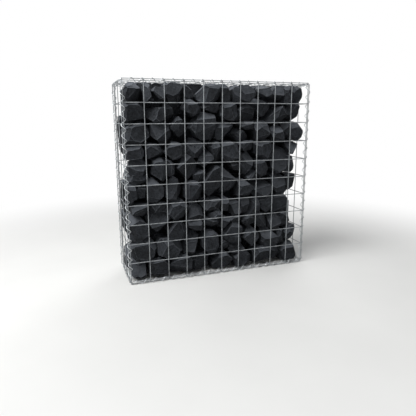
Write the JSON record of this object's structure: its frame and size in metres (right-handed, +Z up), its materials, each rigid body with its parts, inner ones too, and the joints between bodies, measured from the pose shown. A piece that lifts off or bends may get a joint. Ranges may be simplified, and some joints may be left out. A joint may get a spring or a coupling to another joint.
{
  "type": "gabion wall",
  "caption": "Free-standing gabion basket of welded galvanised mesh, laced along its edges with spiral binders and filled with angular dark quarried stone.",
  "frame": {"origin": "on the ground under the middle of the basket, at the level of the lowest turns of the bottom binders", "axes": "+X along the wall, +Y through its depth away from the seen face, +Z up"},
  "size_m": [1.0296, 0.3284, 1.0296],
  "materials": {
    "mesh_wire": "hot-dip galvanised welded mesh, weathered to a dull mid grey",
    "binder_wire": "galvanised spring wire, brighter than the mesh",
    "basalt": "broken basalt, matt and fine-grained, darker in the joints"
  },
  "bodies": {
    "root": {"back_panel": "mesh_wire", "base_panel": "mesh_wire", "bottom_back_binder": "binder_wire", "bottom_front_binder": "binder_wire", "bottom_left_binder": "binder_wire", "bottom_right_binder": "binder_wire", "face_course_1": "basalt", "face_course_10": "basalt", "face_course_2": "basalt", "face_course_3": "basalt", "face_course_4": "basalt", "face_course_5": "basalt", "face_course_6": "basalt", "face_course_7": "basalt", "face_course_8": "basalt", "face_course_9": "basalt", "front_panel": "mesh_wire", "left_back_binder": "binder_wire", "left_end_panel": "mesh_wire", "left_front_binder": "binder_wire", "lid_panel": "mesh_wire", "rear_course_1": "basalt", "rear_course_2": "basalt", "rear_course_3": "basalt", "rear_course_4": "basalt", "rear_course_5": "basalt", "rear_course_6": "basalt", "right_back_binder": "binder_wire", "right_end_panel": "mesh_wire", "right_front_binder": "binder_wire", "top_back_binder": "binder_wire", "top_front_binder": "binder_wire", "top_left_binder": "binder_wire", "top_right_binder": "binder_wire"}
  },
  "joints": []
}
